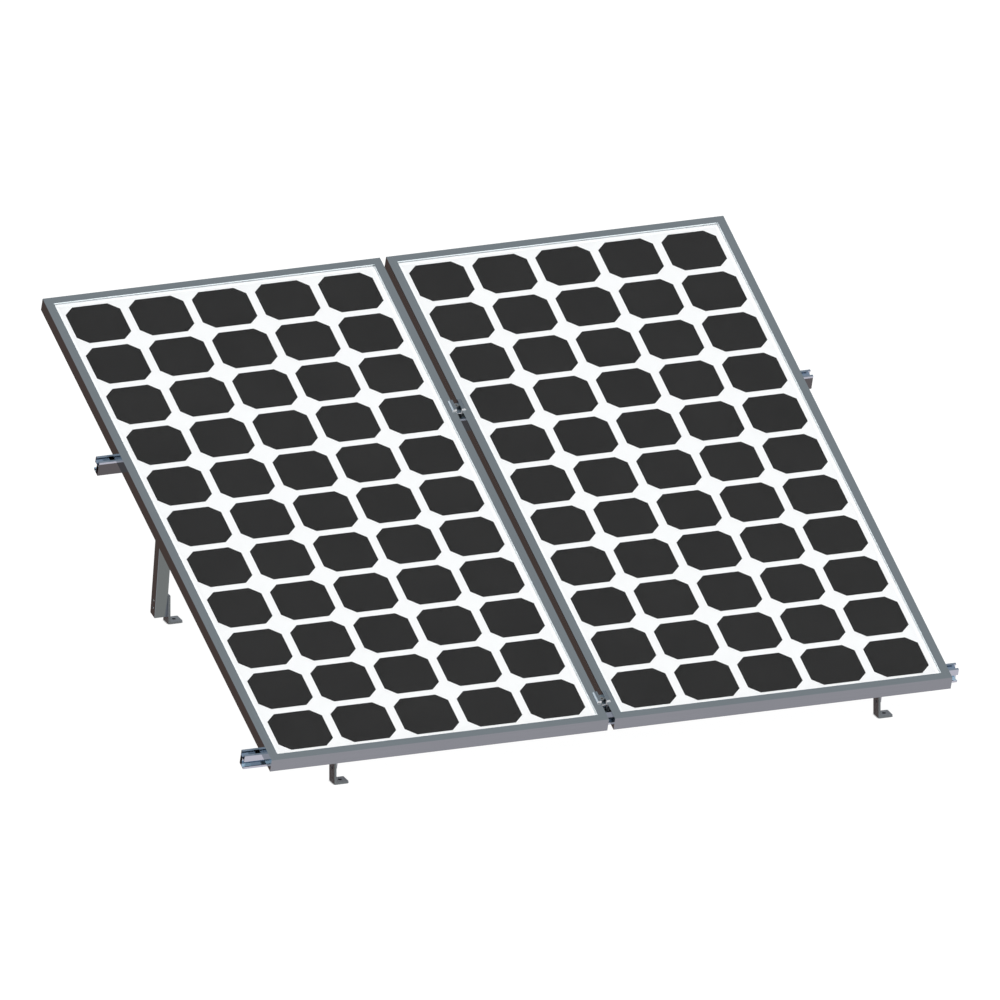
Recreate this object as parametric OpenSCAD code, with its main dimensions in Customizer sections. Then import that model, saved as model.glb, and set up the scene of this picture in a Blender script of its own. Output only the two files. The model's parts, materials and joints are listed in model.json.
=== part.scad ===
// Solar panel mounting rack: two framed panels clamped on two slotted rails, on four feet.
// X runs along the rails, Y from the low front to the high back, Z up from the ground.
// Inside slope(), Y runs up the slope from the panels' front edge and Z stands on their underside.

/* [Layout] */
// Tilt of the panels in degrees
tilt = 20.5; // [10:0.5:30]
// Height of the panels' lower front edge above the ground
front_clear = 74.7; // [70:0.1:120]
// Distance between the two rows of supports along a rail
support_spacing = 1600; // [1000:10:1750]
// Slot face of the lower rail, measured up the slope from the front edge
lower_face = 75; // [70:1:200]
// Slot face of the upper rail, measured up the slope from the front edge
upper_face = 1391; // [900:1:1600]

/* [Panels] */
// Width of one panel
panel_w = 992; // [800:1:1200]
// Length of one panel up the slope
panel_l = 2025; // [1700:1:2450]
// Depth of the panel frame
panel_t = 40; // [35:1:50]
// Gap between the two panels
panel_gap = 18; // [16:1:30]
// Width of the frame's top band
band_w = 25; // [15:1:30]
// Width of the frame's bottom flange
flange_w = 30; // [28:1:40]
// Wall of the frame extrusion
frame_wall = 2; // [1.5:0.1:3]
// Depth of the glass below the frame's top
glass_drop = 4; // [3:0.5:6]
// Thickness of the front glass
glass_t = 3.2; // [2:0.1:4]
// Cells across one panel
cells_x = 5; // [3:1:6]
// Cells up one panel
cells_y = 11; // [6:1:12]
// Spacing of the cells across the panel
pitch_x = 185.5; // [120:0.5:190]
// Spacing of the cells up the panel
pitch_y = 178.3; // [120:0.1:180]
// Width of one cell
cell_w = 160.5; // [100:0.5:164]
// Length of one cell
cell_l = 156; // [100:0.5:160]
// Cut corner of a cell
cell_cut = 28.5; // [5:0.5:35]

/* [Rails] */
// Length that each rail sticks out past the panels
rail_over = 49; // [30:1:150]
// Width of a rail
rail_w = 30; // [28:1:36]
// Height of a rail
rail_h = 46; // [44:1:60]
// Wall of a rail
rail_wall = 2.2; // [1.8:0.1:2.4]
// Opening of the rail's top channel
top_mouth = 16; // [14:0.5:18]
// Inner height of the top channel
top_depth = 13.1; // [12:0.1:15]
// Opening of the rail's side slot
side_mouth = 19; // [12:0.5:20]
// Depth of the side slot
side_depth = 14.4; // [12:0.1:15]

/* [Supports] */
// Thickness of the feet's and connectors' plate
plate_t = 6; // [5:0.5:8]
// Depth of a foot
foot_d = 44; // [36:1:46]
// Width of a foot's base flange
foot_base = 42; // [38:1:60]
// Distance of a foot's middle behind the front joint's hole
foot_back = 2; // [0:0.5:3]
// Diameter of an anchor hole
anchor_hole = 11; // [9:0.5:13]
// Spacing of the two bolt holes in a foot
foot_pitch = 23; // [18:0.5:30]
// Height of a foot above its upper bolt hole
foot_over = 16.6; // [12:0.1:17]
// Reach of the connector's hole from the rail at the front
front_reach = 29; // [26:0.5:34]
// Depth of the front joint's hole below the rail's top
front_drop = 25; // [23:0.5:32]
// Reach of the connector's hole from the rail at the back
rear_reach = 31.2; // [30:0.1:34]
// Depth of the rear joint's hole below the rail's top
rear_drop = 33; // [27:0.5:34]
// Width and depth of a rear leg
leg_w = 36; // [32:1:44]
// Wall of a rear leg
leg_wall = 2.5; // [2:0.5:4]
// Lean of a rear leg from upright in degrees
leg_lean = 10.3; // [0:0.1:14]
// Height of a rear leg's lower end above the ground
leg_rise = 20.7; // [14:0.1:24]
// Length of a rear leg above its top hole
leg_over = 15.3; // [12:0.1:16]

/* [Fasteners] */
// Diameter of the bolts
bolt_d = 8; // [6:1:8]
// Width across the flats of nuts and heads
hex_af = 13; // [10:1:13]
// Play of a bolt in its hole
hole_play = 1; // [0.5:0.5:1.5]
// Length of a mid clamp along the slope
clamp_l = 42; // [30:1:60]
// Overlap of a mid clamp on each frame
clamp_wing = 11; // [8:1:15]
// Distance of a mid clamp's bolt from its middle
clamp_off = 4; // [0:0.5:6]

/* [Hidden] */
$fn = 40;

fit = 0.3;
bolt_hole = bolt_d + hole_play;
nut_h = 0.8 * bolt_d;
washer_d = 2 * bolt_d;
washer_t = 1.6;
edge_r = 1;
root_r = 2;
foot_round = 3;
sink_d = 2 * bolt_d;
sink_h = (sink_d - bolt_d) / 2;
sink_play = 0.15;
anchor_x = foot_base / 2 + 2.5;
hex_r = hex_af / 2 / cos(30);

// The part frame has its origin at the middle of the outer size, on the ground.
depth_y = panel_l * cos(tilt) + panel_t * sin(tilt);
front_y = -depth_y / 2 + panel_t * sin(tilt);
rail_l = 2 * panel_w + panel_gap + 2 * rail_over;

// The laminate's layers, down from the frame's top.
glass_z = panel_t - glass_drop - glass_t;
cell_t = 0.3;
cell_gap = 0.1;
sheet_t = 0.6;
lam_z = glass_z - cell_gap - cell_t - sheet_t;
lam_in = frame_wall + 3;
seal_t = 0.5;
shelf_z = lam_z - seal_t;
chamber_w = 10;
chamber_z = shelf_z - 18.3;
key_arm = 55;

// The rail's section: a is measured from the slot face and b down from the rail's top.
lip_a = (rail_w - top_mouth) / 2;
deck_b = rail_wall + top_depth;
slot_b = deck_b + rail_wall;
slot_end = rail_h - 2.5;
mouth_b = slot_b + 2.5;
mouth_mid = mouth_b + side_mouth / 2;
mid_wall = side_depth + rail_wall;
band_b = 6.2;
face_step = 0.6;
lip_t = rail_wall + 0.3;

// Connectors: length below the rail's top, reach from the rail, and length along it.
conn_top = 11;
conn_reach = max(front_reach, rear_reach) + 12.8;
conn_len = 40;
slot_bolt_x = 24;

// Places of a point of the slope in the part frame, and of the joints' holes.
function slope_y(u, n) = front_y + u * cos(tilt) - n * sin(tilt);
function slope_z(u, n) = front_clear + u * sin(tilt) + n * cos(tilt);
front_joint = [slope_y(lower_face - front_reach, -front_drop),
               slope_z(lower_face - front_reach, -front_drop)];
rear_joint = [slope_y(upper_face + rear_reach, -rear_drop),
              slope_z(upper_face + rear_reach, -rear_drop)];
foot_h = front_joint[1] + foot_over;
foot_holes_z = [front_joint[1], front_joint[1] - foot_pitch];
function leg_y(z) = rear_joint[0] + (rear_joint[1] - z) * tan(leg_lean);
leg_len = (rear_joint[1] - leg_rise) / cos(leg_lean) + leg_over;
front_foot_y = front_joint[0] + foot_back;
// The rear foot stands with the leg near its middle.
rear_foot_y = leg_y(front_joint[1]) - 3.6 + foot_back;
support_x = [-support_spacing / 2, support_spacing / 2];

// Clamp section heights above the frames' underside.
clamp_floor = panel_t - 8;
clamp_play = 0.5;
nut_t = 6;
nut_top = rail_wall;
frame_bolt_in = 20;
drain_d = 8;
rail_mid = [lower_face + rail_w / 2, upper_face - rail_w / 2];

alu = [0.45, 0.47, 0.49];
alu_light = [0.68, 0.71, 0.74];
steel = [0.6, 0.61, 0.62];
galv = [0.42, 0.44, 0.43];

module slope() translate([0, front_y, front_clear]) rotate([tilt, 0, 0]) children();
module along_x(len) rotate([90, 0, 90]) linear_extrude(len, center = true) children();
module panel(side) slope()
    translate([side * (panel_w + panel_gap) / 2, panel_l / 2, 0]) children();

// Section of the frame extrusion: x is measured in from the outer face, y up from the underside.
module frame_section() difference() {
    union() {
        square([frame_wall, panel_t]);
        square([flange_w, frame_wall]);
        translate([0, panel_t - frame_wall]) square([band_w, frame_wall]);
        translate([band_w - frame_wall, panel_t - glass_drop + fit])
            square([frame_wall, glass_drop - fit]);
        translate([0, chamber_z - frame_wall])
            square([chamber_w + 2 * frame_wall, shelf_z - chamber_z + frame_wall]);
    }
    translate([frame_wall, chamber_z]) square([chamber_w, shelf_z - frame_wall - chamber_z]);
}

// One side of a panel frame along X, cut to a mitre at both ends.
module frame_bar(len) intersection() {
    along_x(len) frame_section();
    translate([0, 0, -1]) linear_extrude(panel_t + 2)
        polygon([[-len / 2, 0], [len / 2, 0], [len / 2 - flange_w - 5, flange_w + 5],
                 [-len / 2 + flange_w + 5, flange_w + 5]]);
}

// Slots in the bottom flange for bolting the frame down from inside.
module flange_slots(len, at) for (x = at)
    translate([x, frame_bolt_in, -1]) linear_extrude(frame_wall + 2) union() {
        square([10, bolt_hole], center = true);
        for (s = [-5, 5]) translate([s, 0]) circle(d = bolt_hole);
    }

module frame_short(side, turn) panel(side) rotate([0, 0, turn])
    translate([0, -panel_l / 2, 0]) color(alu) difference() {
        frame_bar(panel_w);
        for (x = [-panel_w / 3, panel_w / 3])
            translate([x, frame_bolt_in, -1]) cylinder(h = frame_wall + 2, d = drain_d);
    }

// The rails cross a side bar at these places, measured from its middle along the slope.
side_slots = [for (u = rail_mid) u - panel_l / 2];
module frame_long(side, turn) panel(side) rotate([0, 0, turn])
    translate([0, -panel_w / 2, 0]) color(alu) difference() {
        frame_bar(panel_l);
        flange_slots(panel_l, [for (s = side_slots) turn > 0 ? s : -s]);
    }

// Corner keys: angle blocks pressed into the frame's chambers.
module key() {
    lo = frame_wall + fit;
    h = shelf_z - frame_wall - chamber_z - 2 * fit;
    w = chamber_w - 2 * fit;
    translate([lo, lo, chamber_z + fit]) linear_extrude(h) difference() {
        square([key_arm, key_arm]);
        translate([w, w]) square(key_arm);
    }
}
module corner_keys(side) panel(side) color(steel)
    for (x = [0, 1], y = [0, 1]) mirror([x, 0, 0]) mirror([0, y, 0])
        translate([-panel_w / 2, -panel_l / 2, 0]) key();

module ring(outer, inner, h) linear_extrude(h) difference() {
    square([panel_w - 2 * outer, panel_l - 2 * outer], center = true);
    square([panel_w - 2 * inner, panel_l - 2 * inner], center = true);
}
// Rubber gasket wrapped round the laminate's edge.
module seal(side) panel(side) color([0.08, 0.08, 0.08]) {
    top = panel_t - glass_drop;
    translate([0, 0, shelf_z]) ring(frame_wall + fit, chamber_w + frame_wall, lam_z - shelf_z);
    translate([0, 0, lam_z]) ring(frame_wall + fit, lam_in, top - lam_z);
    translate([0, 0, top]) ring(frame_wall + fit, chamber_w + 2 * frame_wall,
                                glass_drop - frame_wall - fit);
}
module sheet(z, t) translate([0, 0, z]) linear_extrude(t)
    square([panel_w - 2 * lam_in, panel_l - 2 * lam_in], center = true);
module glass(side) panel(side) color([0.9, 0.96, 0.97]) sheet(glass_z, glass_t);
module backsheet(side) panel(side) color("white") sheet(lam_z, sheet_t);

// Cells with cut corners, laid on the backsheet in rows.
module cells(side) panel(side) color([0.19, 0.2, 0.2])
    translate([0, 0, lam_z + sheet_t]) linear_extrude(cell_t)
        for (i = [0:cells_x - 1], j = [0:cells_y - 1])
            translate([(i - (cells_x - 1) / 2) * pitch_x, (j - (cells_y - 1) / 2) * pitch_y])
                cell_outline();
module cell_outline() {
    a = cell_w / 2;
    b = cell_l / 2;
    c = cell_cut;
    polygon([[c - a, -b], [a - c, -b], [a, c - b], [a, b - c],
             [a - c, b], [c - a, b], [-a, b - c], [-a, c - b]]);
}

// Junction box under the backsheet, open downwards, with two cable glands and a lid.
box_w = 130;
box_l = 84;
box_h = min(22, lam_z - frame_wall - 5);
box_wall = 2.5;
lid_t = 2.5;
module junction(side) panel(side) translate([0, panel_l / 2 - 190, lam_z - box_h]) children();
module soft_rect(w, l, r) union() {
    square([w - 2 * r, l], center = true);
    square([w, l - 2 * r], center = true);
    for (x = [-1, 1], y = [-1, 1]) translate([x * (w / 2 - r), y * (l / 2 - r)]) circle(r);
}
module junction_box(side) junction(side) color([0.1, 0.1, 0.1]) difference() {
    union() {
        linear_extrude(box_h) soft_rect(box_w, box_l, 8);
        for (x = [-35, 35]) translate([x, -box_l / 2, box_h / 2]) rotate([90, 0, 0]) {
            cylinder(h = 10, r = 7, $fn = 6);
            cylinder(h = 16, d = 9);
        }
    }
    translate([0, 0, -1]) linear_extrude(box_h - box_wall + 1)
        soft_rect(box_w - 2 * box_wall, box_l - 2 * box_wall, 8 - box_wall);
    for (x = [-35, 35]) translate([x, -box_l / 2 + box_wall + 1, box_h / 2])
        rotate([90, 0, 0]) cylinder(h = 30, d = 6);
}
// Four terminal blocks with three bypass diodes between them.
module junction_board(side) junction(side) color([0.7, 0.6, 0.3]) {
    for (i = [-1.5:1.5]) translate([i * 30, 12, box_h - box_wall - 5])
        cube([14, 26, 10], center = true);
    for (i = [-1:1]) translate([i * 30 - 8, 12, box_h - box_wall - 5])
        rotate([0, 90, 0]) cylinder(h = 16, d = 6);
}
module junction_lid(side) junction(side) color([0.1, 0.1, 0.1]) {
    translate([0, 0, -lid_t]) linear_extrude(lid_t) soft_rect(box_w, box_l, 8);
    linear_extrude(4) difference() {
        soft_rect(box_w - 2 * box_wall - 2 * fit, box_l - 2 * box_wall - 2 * fit, 5);
        soft_rect(box_w - 4 * box_wall - 2 * fit, box_l - 4 * box_wall - 2 * fit, 3);
    }
}

// Rail section with a channel in the top, a T slot in one side and a closed box behind it.
module rail_section() difference() {
    translate([0, -rail_h]) square([rail_w, rail_h]);
    translate([rail_wall, -deck_b]) square([rail_w - 2 * rail_wall, top_depth]);
    translate([lip_a, -rail_wall - 1]) square([top_mouth, rail_wall + 2]);
    translate([lip_t, -slot_end]) square([side_depth - lip_t, slot_end - slot_b]);
    translate([-1, -mouth_b - side_mouth]) square([lip_t + 2, side_mouth]);
    translate([mid_wall, -slot_end]) square([rail_w - rail_wall - mid_wall, slot_end - slot_b]);
    translate([rail_w - face_step, -rail_h - 1]) square([face_step + 1, rail_h + 1 - band_b]);
}
module rail_lower() color(alu_light) slope() translate([0, lower_face, 0])
    along_x(rail_l) rail_section();
module rail_upper() color(alu_light) slope() translate([0, upper_face, 0])
    along_x(rail_l) mirror([1, 0]) rail_section();

// Clamp section: a U between the frames with a thick chamfered wing over each of them.
module clamp_section() {
    in = panel_gap / 2 - clamp_play;
    out = panel_gap / 2 + clamp_wing;
    wall = 1.6;
    difference() {
        polygon([[-in, clamp_floor - 3], [in, clamp_floor - 3], [in, panel_t], [out, panel_t],
                 [out, panel_t + 2], [out - 3.5, panel_t + 6.5], [3.5 - out, panel_t + 6.5],
                 [-out, panel_t + 2], [-out, panel_t], [-in, panel_t]]);
        translate([-in + wall, clamp_floor]) square([2 * (in - wall), panel_t]);
    }
}
// A clamp's bolt stands over the middle of a rail, off the clamp's middle to the side s.
module clamp(u, s) color(alu_light) slope() translate([0, u, 0]) difference() {
    translate([0, -s * clamp_off, 0]) rotate([90, 0, 0])
        linear_extrude(clamp_l, center = true) clamp_section();
    translate([0, 0, clamp_floor - 4]) cylinder(h = 5, d = bolt_hole);
}
module clamp_bolts() color(steel) slope() for (u = rail_mid) translate([0, u, 0])
    difference() {
        union() {
            translate([0, 0, clamp_floor]) cylinder(h = bolt_d, d = 1.5 * bolt_d + 0.6);
            translate([0, 0, 1.2 - deck_b]) cylinder(h = clamp_floor + deck_b - 1.2, d = bolt_d);
        }
        translate([0, 0, clamp_floor + bolt_d / 2]) cylinder(h = bolt_d, r = bolt_d * 0.43, $fn = 6);
    }
// Nut plates that lie under the lips of the rail's top channel.
module channel_nuts() color(steel) slope() for (u = rail_mid)
    translate([0, u, -nut_top - nut_t]) difference() {
        translate([-11, -(rail_w / 2 - rail_wall - fit), 0])
            cube([22, rail_w - 2 * rail_wall - 2 * fit, nut_t]);
        translate([0, 0, -1]) cylinder(h = nut_t + 2, d = bolt_d + 0.4);
    }

// Section of an extruded angle with its corner at the origin and its legs along +x and +y.
module angle_section(x, y) difference() {
    union() {
        square([x, plate_t]);
        square([plate_t, y]);
        translate([plate_t, plate_t]) square(root_r);
    }
    translate([plate_t + root_r, plate_t + root_r]) circle(root_r);
    mirror([1, 0]) mirror([0, 1]) spandrel(edge_r);
}
// Countersunk hole along +z from the face at z = 0, through a plate of thickness t.
module sunk_hole(t) {
    translate([0, 0, -1]) cylinder(h = t + 2, d = bolt_hole);
    translate([0, 0, -0.5]) cylinder(h = sink_h + 0.5, r1 = sink_d / 2 + 0.5 + sink_play,
                                     r2 = bolt_d / 2 + sink_play);
}

// What lies outside a rounded corner at the origin, on a shape that fills x < 0, y < 0.
module spandrel(r) difference() {
    translate([-r, -r]) square(r + 1);
    translate([-r, -r]) circle(r);
}
// Foot: an angle with one leg on the ground, rounded at its free corners. A hole is [y, z, side
// that it is countersunk from: -1, 1, or 0 for neither].
module foot(x, y, holes) color(galv) translate([x, y, 0]) difference() {
    rotate([90, 0, 0]) linear_extrude(foot_d, center = true) angle_section(foot_base, foot_h);
    for (s = [0, 1]) mirror([0, s, 0]) {
        translate([-1, foot_d / 2, foot_h]) rotate([90, 0, 90])
            linear_extrude(plate_t + 2) spandrel(foot_round);
        translate([foot_base, foot_d / 2, -1]) linear_extrude(plate_t + 2) spandrel(foot_round);
    }
    translate([anchor_x, 0, -1]) cylinder(h = plate_t + 2, d = anchor_hole);
    for (h = holes) translate([h[2] > 0 ? plate_t : 0, h[0] - y, h[1]])
        rotate([0, h[2] > 0 ? -90 : 90, 0]) {
            if (h[2] != 0) sunk_hole(plate_t);
            translate([0, 0, -1]) cylinder(h = plate_t + 2, d = bolt_hole);
        }
}

front_holes = [for (i = [0, 1]) [front_joint[0], foot_holes_z[i], i - 1]];
rear_holes = [for (z = foot_holes_z) [leg_y(z), z, 1]];

module flip(dir) if (dir < 0) mirror([0, 1, 0]) children(); else children();
// Connector: an angle from the rail's side slot to a foot or leg. dir is the way it reaches.
module connector(x, face, dir, reach, drop) color(alu_light) slope()
    translate([x, face, -rail_h]) difference() {
        flip(dir) linear_extrude(rail_h - conn_top) angle_section(conn_len, conn_reach);
        translate([slot_bolt_x, -10 * dir, rail_h - mouth_mid]) rotate([-90 * dir, 0, 0])
            cylinder(h = 30, d = bolt_hole);
        translate([dir > 0 ? plate_t : 0, dir * reach, rail_h - drop]) rotate([0, -90 * dir, 0])
            if (dir > 0) sunk_hole(plate_t);
            else translate([0, 0, -1]) cylinder(h = plate_t + 2, d = bolt_hole);
    }

// Rear leg: a lipped channel, open to the back, with its outer side on the foot's plate.
module leg(x) color(galv) translate([x, rear_joint[0], rear_joint[1]])
    rotate([leg_lean, 0, 0]) difference() {
        translate([-leg_w / 2, 0, leg_over - leg_len]) linear_extrude(leg_len) leg_section();
        for (z = [0, for (h = rear_holes) -(rear_joint[1] - h[1]) / cos(leg_lean)])
            translate([-leg_w - 1, 0, z]) rotate([0, 90, 0]) cylinder(h = leg_w + 2, d = bolt_hole);
    }
module leg_section() difference() {
    soft_rect(leg_w, leg_w, edge_r);
    square(leg_w - 2 * leg_wall, center = true);
    translate([-11, 0]) square([22, leg_w]);
}

// T bolt along +z: its head spans a slot behind the lips at z = 0 and its shank sticks out.
module t_bolt(span, grip) {
    translate([-5, -span / 2, -5]) cube([10, span, 5]);
    cylinder(h = grip, d = bolt_d);
}
module flange_nut() difference() {
    union() {
        cylinder(h = nut_h + 1, r = hex_r, $fn = 6);
        cylinder(h = 1.5, d = 2.2 * bolt_d);
    }
    translate([0, 0, -1]) cylinder(h = nut_h + 3, d = bolt_d + 0.4);
}

// Places of the connectors' slot bolts: [x, slot face, direction out of the slot].
slot_places = [for (x = support_x, f = [[plate_t, lower_face, -1], [0, upper_face, 1]])
    [x + f[0] + slot_bolt_x, f[1], f[2]]];
module at_slot(out) for (p = slot_places) slope()
    translate([p[0], p[1] + p[2] * out, -mouth_mid]) rotate([-90 * p[2], 0, 0]) children();
slot_span = 2 * (mouth_mid - slot_b - fit);
module slot_bolts() color(steel) at_slot(-lip_t)
    t_bolt(slot_span, lip_t + plate_t + nut_h + 3);
module slot_nuts() color(steel) at_slot(plate_t) flange_nut();

// Frame bolts come up from the rails' top channels through the frames' bottom flanges.
frame_places = [for (s = [-1, 1], u = rail_mid)
    [s * (panel_w + panel_gap / 2 - frame_bolt_in), u]];
module at_frame(z) slope() for (p = frame_places) translate([p[0], p[1], z]) children();
module frame_bolts() color(steel) at_frame(-rail_wall)
    t_bolt(rail_w - 2 * rail_wall - 2 * fit, rail_wall + frame_wall + nut_h + 3);
module frame_nuts() color(steel) at_frame(frame_wall) flange_nut();

// Joint screws: [x of the head's face, y, z, direction of the screw, thickness clamped]. Their
// heads are flush, and the rear ones' nuts are inside the leg.
joints = [for (x = support_x) each [
    [x, front_joint[0], front_joint[1], 1, 2 * plate_t],
    [x + plate_t, rear_joint[0], rear_joint[1], -1, plate_t + leg_wall],
    for (h = rear_holes) [x + plate_t, h[0], h[1], -1, plate_t + leg_wall]]];
module at_joint(j, in) translate([j[0] + j[3] * in, j[1], j[2]])
    rotate([0, 90 * j[3], 0]) children();
module joint_screws() color(steel) for (j = joints) at_joint(j, 0) difference() {
    union() {
        cylinder(h = sink_h, r1 = sink_d / 2, r2 = bolt_d / 2);
        cylinder(h = j[4] + washer_t + nut_h + 2, d = bolt_d);
    }
    translate([0, 0, -1]) cylinder(h = 4, r = 0.36 * bolt_d, $fn = 6);
}
module joint_washers() color(steel) for (j = joints) at_joint(j, j[4]) difference() {
    cylinder(h = washer_t, d = washer_d);
    translate([0, 0, -1]) cylinder(h = washer_t + 2, d = bolt_d + 0.4);
}
module joint_nuts() color(steel) for (j = joints) at_joint(j, j[4] + washer_t) difference() {
    cylinder(h = nut_h, r = hex_r, $fn = 6);
    translate([0, 0, -1]) cylinder(h = nut_h + 2, d = bolt_d + 0.4);
}

frame_short(-1, 0);  // left_frame_front
frame_short(-1, 180);  // left_frame_back
frame_long(-1, -90);  // left_frame_left
frame_long(-1, 90);  // left_frame_right
corner_keys(-1);  // left_corner_keys
seal(-1);  // left_seal
glass(-1);  // left_glass
cells(-1);  // left_cells
backsheet(-1);  // left_backsheet
junction_box(-1);  // left_junction_box
junction_board(-1);  // left_junction_board
junction_lid(-1);  // left_junction_lid
frame_short(1, 0);  // right_frame_front
frame_short(1, 180);  // right_frame_back
frame_long(1, -90);  // right_frame_left
frame_long(1, 90);  // right_frame_right
corner_keys(1);  // right_corner_keys
seal(1);  // right_seal
glass(1);  // right_glass
cells(1);  // right_cells
backsheet(1);  // right_backsheet
junction_box(1);  // right_junction_box
junction_board(1);  // right_junction_board
junction_lid(1);  // right_junction_lid
rail_lower();
rail_upper();
clamp(rail_mid[0], -1);  // clamp_lower
clamp(rail_mid[1], 1);  // clamp_upper
clamp_bolts();
channel_nuts();
connector(support_x[0] + plate_t, lower_face, -1, front_reach, front_drop);  // connector_front_left
connector(support_x[1] + plate_t, lower_face, -1, front_reach, front_drop);  // connector_front_right
connector(support_x[0], upper_face, 1, rear_reach, rear_drop);  // connector_rear_left
connector(support_x[1], upper_face, 1, rear_reach, rear_drop);  // connector_rear_right
slot_bolts();
slot_nuts();
foot(support_x[0], front_foot_y, front_holes);  // foot_front_left
foot(support_x[1], front_foot_y, front_holes);  // foot_front_right
foot(support_x[0], rear_foot_y, rear_holes);  // foot_rear_left
foot(support_x[1], rear_foot_y, rear_holes);  // foot_rear_right
leg(support_x[0]);  // leg_left
leg(support_x[1]);  // leg_right
joint_screws();
joint_washers();
joint_nuts();
frame_bolts();
frame_nuts();
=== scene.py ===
import bpy, json, math
from mathutils import Matrix, Vector

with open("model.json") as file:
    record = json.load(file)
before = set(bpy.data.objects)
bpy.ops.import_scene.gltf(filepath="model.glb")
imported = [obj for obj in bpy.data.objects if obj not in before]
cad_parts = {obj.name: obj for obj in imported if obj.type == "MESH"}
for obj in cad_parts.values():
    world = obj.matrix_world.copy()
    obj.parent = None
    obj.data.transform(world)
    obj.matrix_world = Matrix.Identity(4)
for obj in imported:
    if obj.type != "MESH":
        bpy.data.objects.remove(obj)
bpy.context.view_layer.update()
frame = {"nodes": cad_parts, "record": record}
nodes = frame["nodes"]

# Camera: the photo looks up the slope from the low front left, 20 degrees above the horizon, with
# no perspective. It is aimed so that the panels' front edge falls where the photo shows it.
azimuth, elevation = math.radians(19.5572), math.radians(20.0859)
look = Vector((math.sin(azimuth) * math.cos(elevation), math.cos(azimuth) * math.cos(elevation),
               -math.sin(elevation)))
right = Vector((math.cos(azimuth), -math.sin(azimuth), 0))
above = right.cross(look)
front_edge = Vector((0, -0.9554, 0.1122))
aim_left, aim_up = 0.3106, 0.6070
aim = front_edge - aim_left * right + aim_up * above
stand_off = 7
lens = bpy.data.cameras.new("camera")
lens.type = "ORTHO"
lens.ortho_scale = 2.7711
lens.clip_end = 60
camera = bpy.data.objects.new("camera", lens)
bpy.context.scene.collection.objects.link(camera)
camera.matrix_world = Matrix.Translation(aim - stand_off * look) @ Matrix((
    (right.x, above.x, -look.x), (right.y, above.y, -look.y), (right.z, above.z, -look.z))).to_4x4()
bpy.context.scene.camera = camera

# Panel frames: four hollow extrusions to a panel, anodised in a satin grey and cut to mitres. The
# die leaves faint lines along each bar. The low step down to the glass carries a painted
# highlight, as it looks in the photo.
tilt = math.radians(20.5)
slope_normal = (0, -math.sin(tilt), math.cos(tilt))
sides = ("left", "right")

def feed(tree, socket, value):
    if isinstance(value, bpy.types.NodeSocket):
        tree.links.new(value, socket)
    else:
        socket.default_value = value

def math_node(tree, operation, *values):
    node = tree.nodes.new("ShaderNodeMath")
    node.operation = operation
    for socket, value in zip(node.inputs, values):
        feed(tree, socket, value)
    return node.outputs["Value"]

def vector_node(tree, operation, *values):
    node = tree.nodes.new("ShaderNodeVectorMath")
    node.operation = operation
    sockets = (node.inputs[0], node.inputs["Scale"]) if operation == "SCALE" else node.inputs
    for socket, value in zip(sockets, values):
        feed(tree, socket, value)
    return node.outputs["Value" if operation in ("DOT_PRODUCT", "DISTANCE") else "Vector"]

def noise(tree, place, scale, detail):
    node = tree.nodes.new("ShaderNodeTexNoise")
    node.inputs["Detail"].default_value = detail
    feed(tree, node.inputs["Vector"], place)
    feed(tree, node.inputs["Scale"], scale)
    return node.outputs["Fac"]

def colour_mix(tree, mask, under, over):
    node = tree.nodes.new("ShaderNodeMix")
    node.data_type = "RGBA"
    for name, value in (("Factor", mask), ("A", under), ("B", over)):
        feed(tree, node.inputs[name], value)
    return node.outputs["Result"]

def coordinates(tree, output):
    return tree.nodes.new("ShaderNodeTexCoord").outputs[output]

def slope_place(tree):
    # The place on the piece with the slope laid level, so that X runs across it and Y up it.
    level = tree.nodes.new("ShaderNodeMapping")
    level.inputs["Rotation"].default_value = (-tilt, 0, 0)
    tree.links.new(coordinates(tree, "Object"), level.inputs["Vector"])
    return level.outputs["Vector"]

def split(tree, vector):
    node = tree.nodes.new("ShaderNodeSeparateXYZ")
    tree.links.new(vector, node.inputs["Vector"])
    return node.outputs

def new_group(name, inputs, outputs):
    group = bpy.data.node_groups.new(name, "ShaderNodeTree")
    for kind, socket, value in inputs:
        made = group.interface.new_socket(socket, in_out="INPUT", socket_type="NodeSocket" + kind)
        made.default_value = value
    for kind, socket in outputs:
        group.interface.new_socket(socket, in_out="OUTPUT", socket_type="NodeSocket" + kind)
    return group, group.nodes.new("NodeGroupInput").outputs, group.nodes.new("NodeGroupOutput").inputs

def grade(tree, group_in, group_out, pattern):
    # Colour and roughness that follow a pattern with a mean of zero.
    shade = math_node(tree, "MULTIPLY_ADD", pattern, group_in["Shade"], 1.0)
    feed(tree, group_out["Colour"], vector_node(tree, "SCALE", group_in["Colour"], shade))
    feed(tree, group_out["Roughness"],
         math_node(tree, "MULTIPLY_ADD", pattern, group_in["Spread"], group_in["Roughness"]))

die_lines, group_in, group_out = new_group("die_lines", [
    ("Vector", "Along", (1, 1, 1)), ("Color", "Colour", (0.5, 0.5, 0.5, 1)),
    ("Float", "Shade", 0.05), ("Float", "Roughness", 0.35), ("Float", "Spread", 0.08)],
    [("Color", "Colour"), ("Float", "Roughness"), ("Float", "Height")])
level = slope_place(die_lines)
stretched = vector_node(die_lines, "MULTIPLY", level, group_in["Along"])
lines = noise(die_lines, stretched, scale=1.0, detail=3.0)
clouds = noise(die_lines, level, scale=3.5, detail=2.0)
clouds = math_node(die_lines, "MULTIPLY_ADD", clouds, 0.5, -0.5)
grade(die_lines, group_in, group_out, math_node(die_lines, "MULTIPLY_ADD", lines, 0.5, clouds))
feed(die_lines, group_out["Height"], lines)

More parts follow.
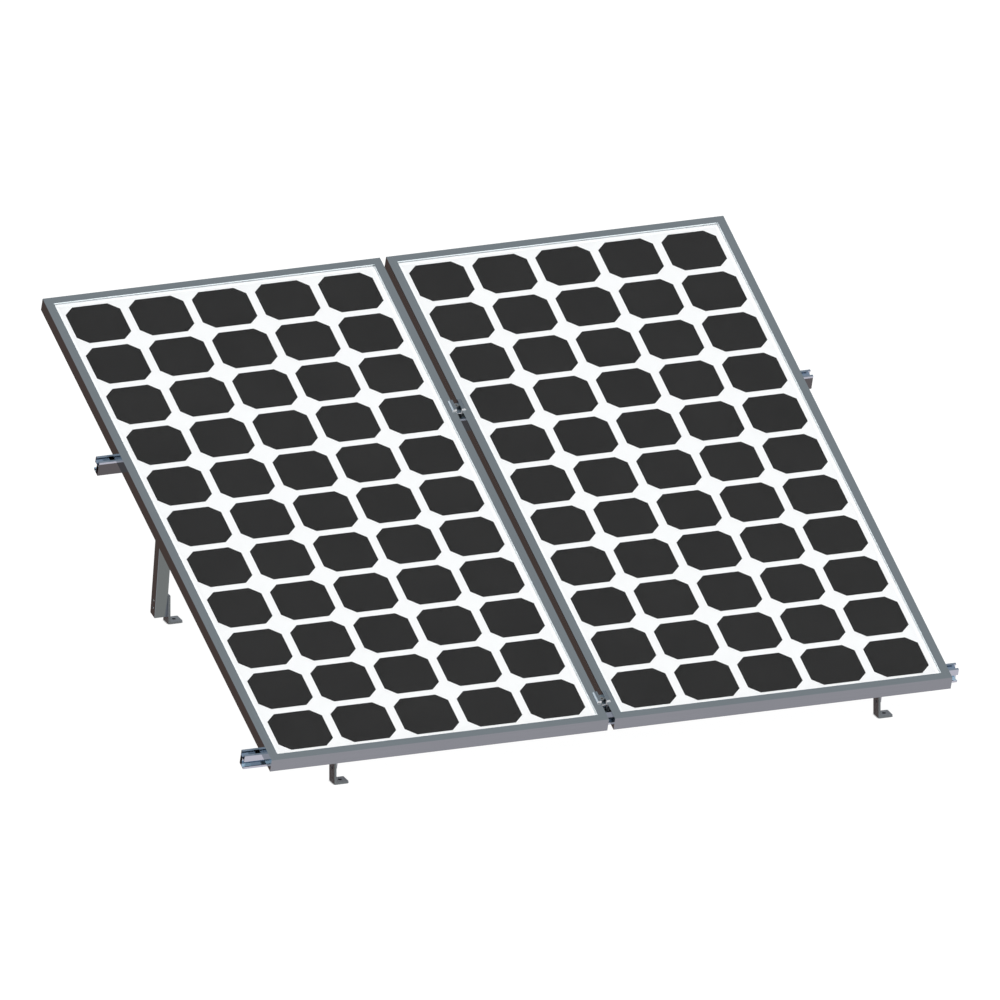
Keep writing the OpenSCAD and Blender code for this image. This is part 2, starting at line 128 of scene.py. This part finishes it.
def new_material(name):
    material = bpy.data.materials.new(name)
    material.use_nodes = True
    return material, material.node_tree, material.node_tree.nodes["Principled BSDF"]

def grained(name, group, settings, metallic, strength, depth):
    material, tree, shader = new_material(name)
    shader.inputs["Metallic"].default_value = metallic
    grain = tree.nodes.new("ShaderNodeGroup")
    grain.node_tree = group
    for socket, value in settings.items():
        grain.inputs[socket].default_value = value
    relief = tree.nodes.new("ShaderNodeBump")
    relief.inputs["Strength"].default_value = strength
    relief.inputs["Distance"].default_value = depth
    tree.links.new(grain.outputs["Colour"], shader.inputs["Base Color"])
    tree.links.new(grain.outputs["Roughness"], shader.inputs["Roughness"])
    tree.links.new(grain.outputs["Height"], relief.inputs["Height"])
    tree.links.new(relief.outputs["Normal"], shader.inputs["Normal"])
    return material

def extruded_metal(name, colour, roughness, along, spread=0.12):
    return grained(name, die_lines, {
        "Along": along, "Colour": (*colour, 1), "Shade": 0.25, "Roughness": roughness,
        "Spread": spread}, metallic=1.0, strength=0.4, depth=0.00002)

def recolour(material, mask, colour):
    tree = material.node_tree
    base = tree.nodes["Principled BSDF"].inputs["Base Color"]
    tree.links.new(colour_mix(tree, mask, base.links[0].from_socket, (*colour, 1)), base)

def finish_node(name, material):
    for slot in nodes[name].material_slots:
        slot.material = material

# The lines to a metre along each axis of the levelled slope: few along a bar and many across it.
across = (2.0, 900.0, 900.0)
up_slope = (900.0, 2.0, 900.0)
anodised_grey = (0.382, 0.424, 0.446)
frame_across = extruded_metal("anodised_frame_across", anodised_grey, 0.15, across, spread=0.05)
frame_up = extruded_metal("anodised_frame_up", anodised_grey, 0.1, up_slope, spread=0.04)
for side in sides:
    finish_node(side + "_frame_front", frame_across)
    finish_node(side + "_frame_back", frame_across)
    finish_node(side + "_frame_left", frame_up)
    finish_node(side + "_frame_right", frame_up)

lean_back = Matrix.Rotation(-tilt, 3, "X")
pane_points = [lean_back @ point.co for point in nodes["right_glass"].data.vertices]
pane_left, pane_right = min(point.x for point in pane_points), max(point.x for point in pane_points)
pane_near, pane_far = min(point.y for point in pane_points), max(point.y for point in pane_points)
pane_top = max(point.z for point in pane_points)
pane_x, half_width = (pane_left + pane_right) / 2, (pane_right - pane_left) / 2
pane_y, half_length = (pane_near + pane_far) / 2, (pane_far - pane_near) / 2
# The step is inside the pane's outline, over its top and steeper than 60 degrees to it.
steep = math.cos(math.radians(60))
# The step's bright colour is a painted highlight, not a finish of its own.
step_painted_highlight = (0.92, 0.98, 1)
for bar in (frame_across, frame_up):
    tree = bar.node_tree
    place = split(tree, slope_place(tree))
    in_width = math_node(tree, "COMPARE", math_node(tree, "ABSOLUTE", place["X"]), pane_x, half_width)
    in_length = math_node(tree, "COMPARE", place["Y"], pane_y, half_length)
    over_pane = math_node(tree, "GREATER_THAN", place["Z"], pane_top)
    upward = vector_node(tree, "DOT_PRODUCT", coordinates(tree, "Normal"), slope_normal)
    step = math_node(tree, "LESS_THAN", upward, steep)
    for condition in (in_width, in_length, over_pane):
        step = math_node(tree, "MULTIPLY", step, condition)
    recolour(bar, step, step_painted_highlight)

# Corner keys: plain angle blocks of mill-finish aluminium, pressed into the hollow bars. They are
# out of sight once the frame is closed.
every_way = (40.0, 40.0, 40.0)
key_metal = extruded_metal("mill_aluminium", (0.62, 0.63, 0.65), 0.42, every_way)
for side in sides:
    finish_node(side + "_corner_keys", key_metal)

# Gasket: black rubber strip folded round the laminate's edge and gripped by the frame. Its matt
# skin has a fine pebble from the mould.
fine_grain, group_in, group_out = new_group("fine_grain", [
    ("Color", "Colour", (0.1, 0.1, 0.1, 1)), ("Float", "Size", 400.0), ("Float", "Shade", 0.2),
    ("Float", "Roughness", 0.6), ("Float", "Spread", 0.1)],
    [("Color", "Colour"), ("Float", "Roughness"), ("Float", "Height")])
specks = noise(fine_grain, coordinates(fine_grain, "Object"), group_in["Size"], detail=4.0)
grade(fine_grain, group_in, group_out, math_node(fine_grain, "SUBTRACT", specks, 0.5))
feed(fine_grain, group_out["Height"], specks)

def moulded(name, colour, roughness, size=900.0, shade=0.2, metallic=0.0, depth=0.00005):
    return grained(name, fine_grain, {
        "Colour": (*colour, 1), "Size": size, "Shade": shade, "Roughness": roughness},
        metallic, strength=0.5, depth=depth)

rubber = moulded("black_rubber", (0.02, 0.02, 0.02), 0.7)
for side in sides:
    finish_node(side + "_seal", rubber)

# Front glass: low-iron solar glass, 3.2 mm thick, coated so that nearly all light passes. It is
# drawn as a slightly hazy mirror of 1.5 percent opacity, with no refraction, which leaves only a
# faint reflection of the room.
pane, tree, shader = new_material("solar_glass")
shader.inputs["Base Color"].default_value = (1, 1, 1, 1)
shader.inputs["Metallic"].default_value = 1.0
shader.inputs["Roughness"].default_value = 0.12
shader.inputs["Alpha"].default_value = 0.015
for side in sides:
    finish_node(side + "_glass", pane)

# Cells: near-black monocrystalline wafers with cut corners. The black is a little deeper in some
# places than in others, and very fine fingers, only just lighter than it, run across.
def ramp(tree, value, low, high, interpolation="LINEAR"):
    node = tree.nodes.new("ShaderNodeMapRange")
    node.interpolation_type = interpolation
    node.inputs["From Min"].default_value = low
    node.inputs["From Max"].default_value = high
    tree.links.new(value, node.inputs["Value"])
    return node.outputs["Result"]

deep_black = (0.0091, 0.0086, 0.008, 1)
thin_black = (0.0123, 0.0117, 0.0109, 1)
finger_grey = (0.016, 0.016, 0.016, 1)
finger_sharpness = 8.0
wafer, tree, shader = new_material("silicon_cell")
level = slope_place(tree)
patches = ramp(tree, noise(tree, level, scale=5.0, detail=2.0), low=0.3, high=0.7)
black = colour_mix(tree, patches, deep_black, thin_black)
fingers = tree.nodes.new("ShaderNodeTexWave")
fingers.bands_direction = "Y"
fingers.inputs["Scale"].default_value = 90.0
tree.links.new(level, fingers.inputs["Vector"])
thin_lines = math_node(tree, "POWER", fingers.outputs["Fac"], finger_sharpness)
tree.links.new(colour_mix(tree, thin_lines, black, finger_grey), shader.inputs["Base Color"])
shader.inputs["Roughness"].default_value = 0.6
shader.inputs["Specular IOR Level"].default_value = 0.06
for side in sides:
    finish_node(side + "_cells", wafer)

# Backsheet: white polymer film laminated behind the cells. It fills the gaps between them and
# shows plain on the panel's back. Its rim is painted a little whiter, to make up for the shade
# that the frame throws on it and the photo doesn't show.
under_frame = 0.02
rim_width = 0.012
rim_painted_light = (0.95, 0.975, 0.98)
film = moulded("white_backsheet", (0.738, 0.74, 0.733), 0.55, size=60.0, shade=0.03, depth=0.0001)
tree = film.node_tree
place = split(tree, slope_place(tree))
rims = []
for along, middle, half in ((math_node(tree, "ABSOLUTE", place["X"]), pane_x, half_width),
                            (place["Y"], pane_y, half_length)):
    away = math_node(tree, "ABSOLUTE", math_node(tree, "SUBTRACT", along, middle))
    in_sight = half - under_frame
    rims.append(ramp(tree, away, in_sight - rim_width, in_sight))
recolour(film, math_node(tree, "MAXIMUM", *rims), rim_painted_light)
for side in sides:
    finish_node(side + "_backsheet", film)

# Junction box: black moulded housing glued to the backsheet, with a snap-on lid and two glands.
# Brass terminals and bypass diodes sit inside it.
housing = moulded("black_moulding", (0.03, 0.03, 0.032), 0.5, size=700.0)
brass = moulded("brass_terminal", (0.6, 0.42, 0.16), 0.32, size=300.0, metallic=1.0, depth=0.00002)
for side in sides:
    finish_node(side + "_junction_box", housing)
    finish_node(side + "_junction_lid", housing)
    finish_node(side + "_junction_board", brass)

# Rails: aluminium extrusions with a channel in the top and a T slot in one side. The tones that
# they show in the photo are painted by place: painted shade on the closed wall under a bright
# band and on the tops, and a light blue painted reflection on the ledge in the slot.
bright_band = 0.0062
channel_depth = 0.017
wall_tolerance = 0.001
nearly_flat = 0.9
rail_wall_painted_shade, rail_ledge_painted_reflection, rail_top_painted_shade = (0.161, 0.162, 0.161), (0.72, 0.89, 1), (0.39, 0.46, 0.55)
rail_points = [lean_back @ point.co for point in nodes["rail_upper"].data.vertices]
closed_wall = min(point.y for point in rail_points)
rail_top = max(point.z for point in rail_points)
rail_metal = extruded_metal("rail_aluminium", (0.70, 0.77, 0.84), 0.08, across, spread=0.06)
tree = rail_metal.node_tree
place = split(tree, slope_place(tree))
outside = math_node(tree, "COMPARE", place["Y"], closed_wall, wall_tolerance)
under_band = math_node(tree, "LESS_THAN", place["Z"], rail_top - bright_band)
facing_up = vector_node(tree, "DOT_PRODUCT", coordinates(tree, "Normal"), slope_normal)
upward = math_node(tree, "GREATER_THAN", facing_up, nearly_flat)
at_top = math_node(tree, "GREATER_THAN", place["Z"], rail_top - channel_depth)
recolour(rail_metal, math_node(tree, "MULTIPLY", outside, under_band), rail_wall_painted_shade)
recolour(rail_metal, upward, rail_ledge_painted_reflection)
recolour(rail_metal, math_node(tree, "MULTIPLY", upward, at_top), rail_top_painted_shade)
for rail in ("rail_lower", "rail_upper"):
    finish_node(rail, rail_metal)

# Mid clamps: short lengths of an anodised extrusion, darker than the frames, one over each rail.
# Their wings hold the edges of both panels. The sawn front end of each is bare metal with a
# painted highlight: nearly white and not metallic, as it looks in the photo.
down_slope = (0, -math.cos(tilt), -math.sin(tilt))
facing_down_slope = 0.9
bare_end_with_painted_highlight = (0.97, 0.97, 0.98)
clamp_metal = extruded_metal("clamp_aluminium", (0.305, 0.352, 0.388), 0.26, up_slope)
tree = clamp_metal.node_tree
end_on = vector_node(tree, "DOT_PRODUCT", coordinates(tree, "Normal"), down_slope)
front_end = math_node(tree, "GREATER_THAN", end_on, facing_down_slope)
recolour(clamp_metal, front_end, bare_end_with_painted_highlight)
tree.links.new(math_node(tree, "SUBTRACT", 1.0, front_end),
               tree.nodes["Principled BSDF"].inputs["Metallic"])
for clamp in ("clamp_lower", "clamp_upper"):
    finish_node(clamp, clamp_metal)

# Connectors: angle brackets of light aluminium, duller than the rails, one to each foot or leg.
# They are sawn from a long extrusion and bolted in the rails' side slots.
connector_metal = extruded_metal("connector_aluminium", (0.66, 0.69, 0.72), 0.34, across)
for row in ("front", "rear"):
    for side in sides:
        finish_node("connector_%s_%s" % (row, side), connector_metal)

# Feet: sawn lengths of a thick angle, anodised a slightly darker grey than the frames and eased at
# the free corners. One anchor hole is drilled in each base, and its wall carries painted shade
# so that it reads as a hole.
anchors = next(mount for mount in frame["record"]["mounts"] if mount["name"] == "anchor_holes")
millimetre = 0.001
hole_tolerance = 0.0002
hole_wall_painted_shade = (0.02, 0.021, 0.024)
anchor_reach = (anchors["dims"]["spacing_x_mm"] * millimetre / 2,
                anchors["dims"]["spacing_y_mm"] * millimetre / 2, 0)
hole_radius = anchors["dims"]["hole_r_mm"] * millimetre
foot_metal = moulded("anodised_plate", (0.35, 0.385, 0.42), 0.25, size=120.0, shade=0.15,
                     metallic=0.9, depth=0.00002)
tree = foot_metal.node_tree
from_middle = vector_node(tree, "MULTIPLY_ADD", coordinates(tree, "Object"), (1, 1, 0),
                          (-anchors["pos_m"][0], -anchors["pos_m"][1], 0))
from_hole = vector_node(tree, "DISTANCE", vector_node(tree, "ABSOLUTE", from_middle), anchor_reach)
in_hole = math_node(tree, "LESS_THAN", from_hole, hole_radius + hole_tolerance)
recolour(foot_metal, in_hole, hole_wall_painted_shade)
for row in ("front", "rear"):
    for side in sides:
        finish_node("foot_%s_%s" % (row, side), foot_metal)

# Rear legs: lipped channels, open to the back, in the frames' grey. They carry the upper rail and
# stand on the rear feet.
upright = (900.0, 900.0, 2.0)
leg_metal = extruded_metal("leg_aluminium", anodised_grey, 0.15, upright, spread=0.05)
for side in sides:
    finish_node("leg_" + side, leg_metal)

# Fasteners: stainless bolts, nuts, washers and nut plates, turned and lightly brushed. The screws
# at the feet and legs, with their nuts and washers, have a black oxide skin.
stainless = moulded("stainless_steel", (0.45, 0.45, 0.44), 0.3, size=500.0, shade=0.15,
                    metallic=1.0, depth=0.00001)
for part in ("clamp_bolts", "channel_nuts", "slot_bolts", "slot_nuts", "frame_bolts", "frame_nuts"):
    finish_node(part, stainless)
black_oxide = moulded("black_oxide_steel", (0.03, 0.03, 0.032), 0.4, size=500.0, metallic=0.6,
                      depth=0.00001)
for part in ("joint_screws", "joint_washers", "joint_nuts"):
    finish_node(part, black_oxide)

# Floor: a plain pale studio floor. Most of its light is its own, so the shadow on it stays faint,
# and only what is tight against a foot or under it goes dark.
half_floor = 30.0
tight_gap = 0.012
floor_mesh = bpy.data.meshes.new("floor")
floor_mesh.from_pydata([(-half_floor, -half_floor, 0), (half_floor, -half_floor, 0),
                        (half_floor, half_floor, 0), (-half_floor, half_floor, 0)],
                       [], [(0, 1, 2, 3)])
floor = bpy.data.objects.new("floor", floor_mesh)
bpy.context.scene.collection.objects.link(floor)
floor.visible_glossy = False
floor.visible_diffuse = False
pale, tree, shader = new_material("pale_floor")
shader.inputs["Base Color"].default_value = (0.1, 0.1, 0.1, 1)
shader.inputs["Roughness"].default_value = 1.0
shader.inputs["Specular IOR Level"].default_value = 0.0
shader.inputs["Emission Strength"].default_value = 0.97
tight = tree.nodes.new("ShaderNodeAmbientOcclusion")
tight.inputs["Distance"].default_value = tight_gap
tree.links.new(ramp(tree, tight.outputs["AO"], low=0.45, high=0.75), shader.inputs["Emission Color"])
floor_mesh.materials.append(pale)

# Light: a soft lamp high at the front, a weak one low down, and a room whose tone changes with
# direction. The tones are chosen so that the metal faces seen in the photo mirror what they show
# there. The camera itself sees plain white behind the rack.
world = bpy.data.worlds.new("studio")
bpy.context.scene.world = world
world.use_nodes = True
tree = world.node_tree
tree.nodes.clear()
outward = coordinates(tree, "Generated")
room = (0.62, 0.64, 0.67, 1)
# The parts of the room that the rack's main faces mirror when it is seen from the front left.
over_tops = (0.31, 0.44, 0.84)
under_slope_fronts = (0.31, -0.44, -0.84)
before_upright_fronts = (0.31, -0.885, -0.34)
beside_left_faces = (-0.1, 0.92, -0.36)
beside_left_edges = (-0.69, 0.61, 0.39)
for direction, low, high, colour in (
        (over_tops, 0.4, 0.95, (0.46, 0.48, 0.5, 1)),
        (under_slope_fronts, 0.2, 0.9, (0.655, 0.595, 0.635, 1)),
        (before_upright_fronts, 0.8, 0.97, (0.373, 0.369, 0.343, 1)),
        (beside_left_faces, 0.55, 0.88, (0.118, 0.083, 0.073, 1)),
        (beside_left_edges, 0.75, 0.97, (1.7, 1.7, 1.72, 1))):
    nearness = vector_node(tree, "DOT_PRODUCT", outward, Vector(direction).normalized())
    room = colour_mix(tree, ramp(tree, nearness, low, high, "SMOOTHSTEP"), room, colour)
lit = tree.nodes.new("ShaderNodeBackground")
tree.links.new(room, lit.inputs["Color"])
seen = tree.nodes.new("ShaderNodeBackground")
seen.inputs["Color"].default_value = (1, 1, 1, 1)
choose = tree.nodes.new("ShaderNodeMixShader")
paths = tree.nodes.new("ShaderNodeLightPath")
tree.links.new(paths.outputs["Is Camera Ray"], choose.inputs["Fac"])
tree.links.new(lit.outputs["Background"], choose.inputs[1])
tree.links.new(seen.outputs["Background"], choose.inputs[2])
sky = tree.nodes.new("ShaderNodeOutputWorld")
tree.links.new(choose.outputs["Shader"], sky.inputs["Surface"])

for name, energy, spread, direction in (("high_lamp", 2.3, 50, (-0.05, 0.55, -0.83)),
                                        ("low_lamp", 0.6, 30, (0, 0.94, 0.1))):
    lamp = bpy.data.lights.new(name, "SUN")
    lamp.energy = energy
    lamp.angle = math.radians(spread)
    stand = bpy.data.objects.new(name, lamp)
    bpy.context.scene.collection.objects.link(stand)
    stand.visible_glossy = False
    stand.rotation_euler = Vector(direction).to_track_quat("-Z", "Y").to_euler()

bpy.context.scene.view_settings.view_transform = "Standard"
